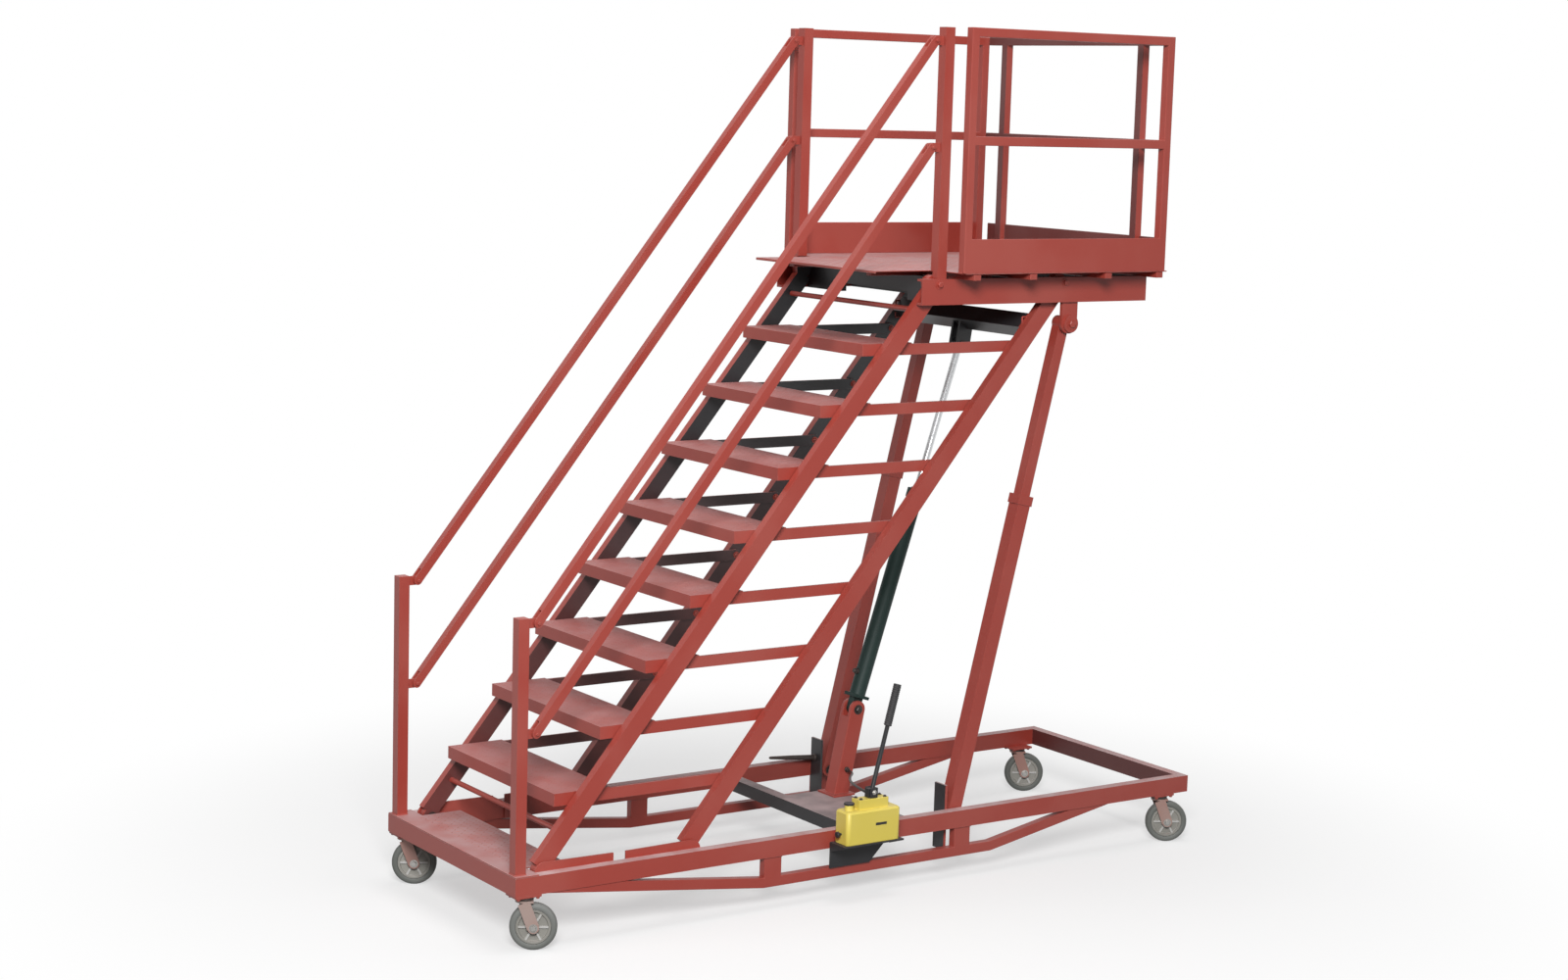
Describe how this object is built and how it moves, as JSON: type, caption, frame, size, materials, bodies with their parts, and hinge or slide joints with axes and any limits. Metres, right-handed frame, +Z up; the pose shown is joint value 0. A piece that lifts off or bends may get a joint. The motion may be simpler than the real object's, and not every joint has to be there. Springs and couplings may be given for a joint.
{
  "type": "aircraft maintenance platform",
  "caption": "Red wheeled maintenance platform with a self-levelling stair, guarded deck, telescopic props, hydraulic lift cylinder and hand pump on a trussed base.",
  "frame": {"origin": "floor, middle of the outline seen from above", "axes": "+X from the entry landing to the front guard, +Z up, -Y the hand pump's side"},
  "size_m": [3.72, 1.4, 3.855],
  "materials": {
    "red": "satin",
    "yellow": "satin",
    "black": "satin",
    "green": "satin",
    "rod": "polished",
    "tyre": "matte",
    "hub": "satin"
  },
  "bodies": {
    "base": {"base_frame": "red", "base_trusses": "red", "landing_plate": "red", "base_posts": "red", "foot_plates": "red", "caster_plates": "red", "pump_shelf": "black", "pump_body": "yellow", "pump_lever": "black", "cylinder_pedestal": "red"},
    "upper_stringers": {"stringers_upper": "red"},
    "lower_stringers": {"stringers_lower": "red"},
    "platform": {"platform_frame": "red", "deck_bearers": "red", "deck_outriggers": "red", "platform_deck": "red", "platform_posts": "red", "guard_near": "red", "guard_far": "red", "guard_front": "red"},
    "step_1": {"tread_1": "red"},
    "step_2": {"tread_2": "red"},
    "step_3": {"tread_3": "red"},
    "step_4": {"tread_4": "red"},
    "step_5": {"tread_5": "red"},
    "step_6": {"tread_6": "red"},
    "step_7": {"tread_7": "red"},
    "step_8": {"tread_8": "red"},
    "top_handrails": {"handrails_top": "red"},
    "mid_handrails": {"handrails_mid": "red"},
    "prop_tubes": {"props_outer": "red"},
    "prop_bars": {"props_inner": "red"},
    "lift_barrel": {"cylinder_barrel": "green"},
    "lift_rod": {"cylinder_rod": "rod"},
    "caster_rear_near": {"fork_rear_near": "red"},
    "wheel_rear_near": {"tyre_rear_near": "tyre", "hub_rear_near": "hub"},
    "caster_rear_far": {"fork_rear_far": "red"},
    "wheel_rear_far": {"tyre_rear_far": "tyre", "hub_rear_far": "hub"},
    "caster_front_near": {"fork_front_near": "red"},
    "wheel_front_near": {"tyre_front_near": "tyre", "hub_front_near": "hub"},
    "caster_front_far": {"fork_front_far": "red"},
    "wheel_front_far": {"tyre_front_far": "tyre", "hub_front_far": "hub"}
  },
  "joints": [
    {"name": "lift", "type": "hinge", "parent": "base", "child": "upper_stringers", "pos_m": [-1.698, 0, 0.31], "axis": [0, -1, 0], "range_deg": [-14, 10]},
    {"name": "lower_stringer_swing", "type": "hinge", "parent": "base", "child": "lower_stringers", "pos_m": [-0.973, 0, 0.31], "axis": [0, -1, 0], "range_deg": [-14.2, 10.2]},
    {"name": "platform_level", "type": "hinge", "parent": "upper_stringers", "child": "platform", "pos_m": [0.237, 0, 2.73], "axis": [0, -1, 0], "range_deg": [-10.2, 14.2]},
    {"name": "step_1_level", "type": "hinge", "parent": "upper_stringers", "child": "step_1", "pos_m": [-1.49235, 0, 0.594], "axis": [0, -1, 0], "range_deg": [-10.2, 14.2]},
    {"name": "step_2_level", "type": "hinge", "parent": "upper_stringers", "child": "step_2", "pos_m": [-1.27562, 0, 0.85743], "axis": [0, -1, 0], "range_deg": [-10.2, 14.2]},
    {"name": "step_3_level", "type": "hinge", "parent": "upper_stringers", "child": "step_3", "pos_m": [-1.05889, 0, 1.12086], "axis": [0, -1, 0], "range_deg": [-10.2, 14.2]},
    {"name": "step_4_level", "type": "hinge", "parent": "upper_stringers", "child": "step_4", "pos_m": [-0.84216, 0, 1.38429], "axis": [0, -1, 0], "range_deg": [-10.2, 14.2]},
    {"name": "step_5_level", "type": "hinge", "parent": "upper_stringers", "child": "step_5", "pos_m": [-0.62543, 0, 1.64771], "axis": [0, -1, 0], "range_deg": [-10.2, 14.2]},
    {"name": "step_6_level", "type": "hinge", "parent": "upper_stringers", "child": "step_6", "pos_m": [-0.40869, 0, 1.91114], "axis": [0, -1, 0], "range_deg": [-10.2, 14.2]},
    {"name": "step_7_level", "type": "hinge", "parent": "upper_stringers", "child": "step_7", "pos_m": [-0.19196, 0, 2.17457], "axis": [0, -1, 0], "range_deg": [-10.2, 14.2]},
    {"name": "step_8_level", "type": "hinge", "parent": "upper_stringers", "child": "step_8", "pos_m": [0.02477, 0, 2.438], "axis": [0, -1, 0], "range_deg": [-10.2, 14.2]},
    {"name": "top_handrail_swing", "type": "hinge", "parent": "base", "child": "top_handrails", "pos_m": [-1.756, 0, 1.375], "axis": [0, -1, 0], "range_deg": [-14.2, 10.2]},
    {"name": "mid_handrail_swing", "type": "hinge", "parent": "base", "child": "mid_handrails", "pos_m": [-1.756, 0, 0.912], "axis": [0, -1, 0], "range_deg": [-14.2, 10.2]},
    {"name": "prop_swing", "type": "hinge", "parent": "base", "child": "prop_tubes", "pos_m": [0.46002, 0, 0.278], "axis": [0, -1, 0], "range_deg": [-17.43, 12.51]},
    {"name": "cylinder_swing", "type": "hinge", "parent": "base", "child": "lift_barrel", "pos_m": [0.25702, 0, 0.7], "axis": [0, -1, 0], "range_deg": [-20.42, 14.64]},
    {"name": "prop_extend", "type": "slide", "parent": "prop_tubes", "child": "prop_bars", "axis": [0.2342, 0, 0.9722], "range_m": [-0.3122, 0.2235]},
    {"name": "rod_extend", "type": "slide", "parent": "lift_barrel", "child": "lift_rod", "axis": [0.307, 0, 0.9517], "range_m": [-0.2405, 0.1723]},
    {"name": "swivel_rear_near", "type": "hinge", "parent": "base", "child": "caster_rear_near", "pos_m": [-1.795, -0.545, 0.228], "axis": [0, 0, 1], "continuous": true},
    {"name": "roll_rear_near", "type": "hinge", "parent": "caster_rear_near", "child": "wheel_rear_near", "pos_m": [-1.76036, -0.565, 0.1], "axis": [0.5, 0.866, 0], "continuous": true},
    {"name": "swivel_rear_far", "type": "hinge", "parent": "base", "child": "caster_rear_far", "pos_m": [-1.795, 0.545, 0.228], "axis": [0, 0, 1], "continuous": true},
    {"name": "roll_rear_far", "type": "hinge", "parent": "caster_rear_far", "child": "wheel_rear_far", "pos_m": [-1.76036, 0.525, 0.1], "axis": [0.5, 0.866, 0], "continuous": true},
    {"name": "swivel_front_near", "type": "hinge", "parent": "base", "child": "caster_front_near", "pos_m": [1.715, -0.545, 0.228], "axis": [0, 0, 1], "continuous": true},
    {"name": "roll_front_near", "type": "hinge", "parent": "caster_front_near", "child": "wheel_front_near", "pos_m": [1.74964, -0.565, 0.1], "axis": [0.5, 0.866, 0], "continuous": true},
    {"name": "swivel_front_far", "type": "hinge", "parent": "base", "child": "caster_front_far", "pos_m": [1.715, 0.545, 0.228], "axis": [0, 0, 1], "continuous": true},
    {"name": "roll_front_far", "type": "hinge", "parent": "caster_front_far", "child": "wheel_front_far", "pos_m": [1.74964, 0.525, 0.1], "axis": [0.5, 0.866, 0], "continuous": true}
  ],
  "couplings": [
    {"joint": "lower_stringer_swing", "follows": "lift", "ratio": 1},
    {"joint": "platform_level", "follows": "lift", "ratio": -1},
    {"joint": "step_1_level", "follows": "lift", "ratio": -1},
    {"joint": "step_2_level", "follows": "lift", "ratio": -1},
    {"joint": "step_3_level", "follows": "lift", "ratio": -1},
    {"joint": "step_4_level", "follows": "lift", "ratio": -1},
    {"joint": "step_5_level", "follows": "lift", "ratio": -1},
    {"joint": "step_6_level", "follows": "lift", "ratio": -1},
    {"joint": "step_7_level", "follows": "lift", "ratio": -1},
    {"joint": "step_8_level", "follows": "lift", "ratio": -1},
    {"joint": "top_handrail_swing", "follows": "lift", "ratio": 1},
    {"joint": "mid_handrail_swing", "follows": "lift", "ratio": 1},
    {"joint": "prop_swing", "follows": "lift", "ratio": 1.2309},
    {"joint": "cylinder_swing", "follows": "lift", "ratio": 1.4442},
    {"joint": "prop_extend", "follows": "lift", "m_per_rad": 1.2694},
    {"joint": "rod_extend", "follows": "lift", "m_per_rad": 0.9759}
  ]
}
